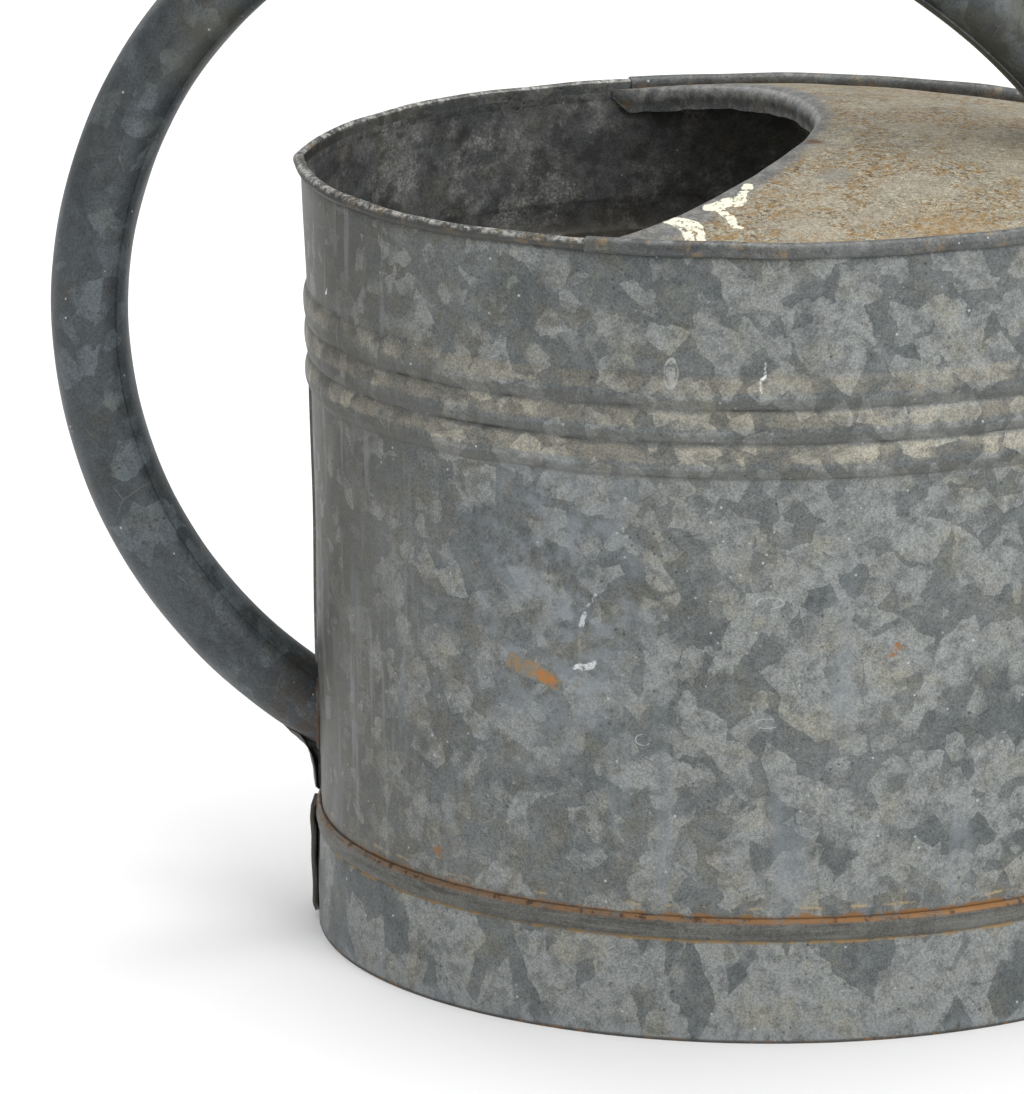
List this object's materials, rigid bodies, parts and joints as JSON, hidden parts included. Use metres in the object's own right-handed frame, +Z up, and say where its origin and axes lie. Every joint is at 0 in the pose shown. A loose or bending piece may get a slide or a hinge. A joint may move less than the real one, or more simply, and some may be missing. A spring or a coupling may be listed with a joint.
{
  "type": "watering can",
  "caption": "Oval galvanised steel watering can with a half cover, a tube handle arching from back to front, a braced spout and a pull-off rose.",
  "frame": {"origin": "middle of the bounding box in plan, on the ground that the foot band stands on", "axes": "+X from the handle's back towards the spout and rose, +Y to the can's left, +Z up"},
  "size_m": [0.7304, 0.2446, 0.4259],
  "materials": {
    "body_zinc": "weathered galvanised, satin, spangled",
    "cover_zinc": "galvanised, chalky, rust flecked",
    "foot_zinc": "galvanised, dark, large spangle",
    "handle_zinc": "galvanised, dark slate, satin",
    "spout_zinc": "weathered galvanised, satin",
    "worn_brass": "dull, tarnished"
  },
  "bodies": {
    "can": {"body_wall": "body_zinc", "rim_wire": "body_zinc", "foot_band": "foot_zinc", "floor_plate": "foot_zinc", "half_cover": "cover_zinc", "handle_tube": "handle_zinc", "handle_heel_tab": "handle_zinc", "handle_toe_plate": "handle_zinc", "spout_tube": "spout_zinc", "spout_collar": "body_zinc", "brace_bar": "spout_zinc", "brace_clip": "spout_zinc", "brace_foot_rivet": "spout_zinc", "brace_clip_rivet": "spout_zinc", "spout_ferrule": "worn_brass"},
    "rose": {"rose_sleeve": "worn_brass", "rose_cone": "spout_zinc", "rose_face": "worn_brass"}
  },
  "joints": [
    {"name": "rose_pull", "type": "slide", "parent": "can", "child": "rose", "axis": [0.6947, 0, 0.7193], "range_m": [0, 0.04]}
  ]
}
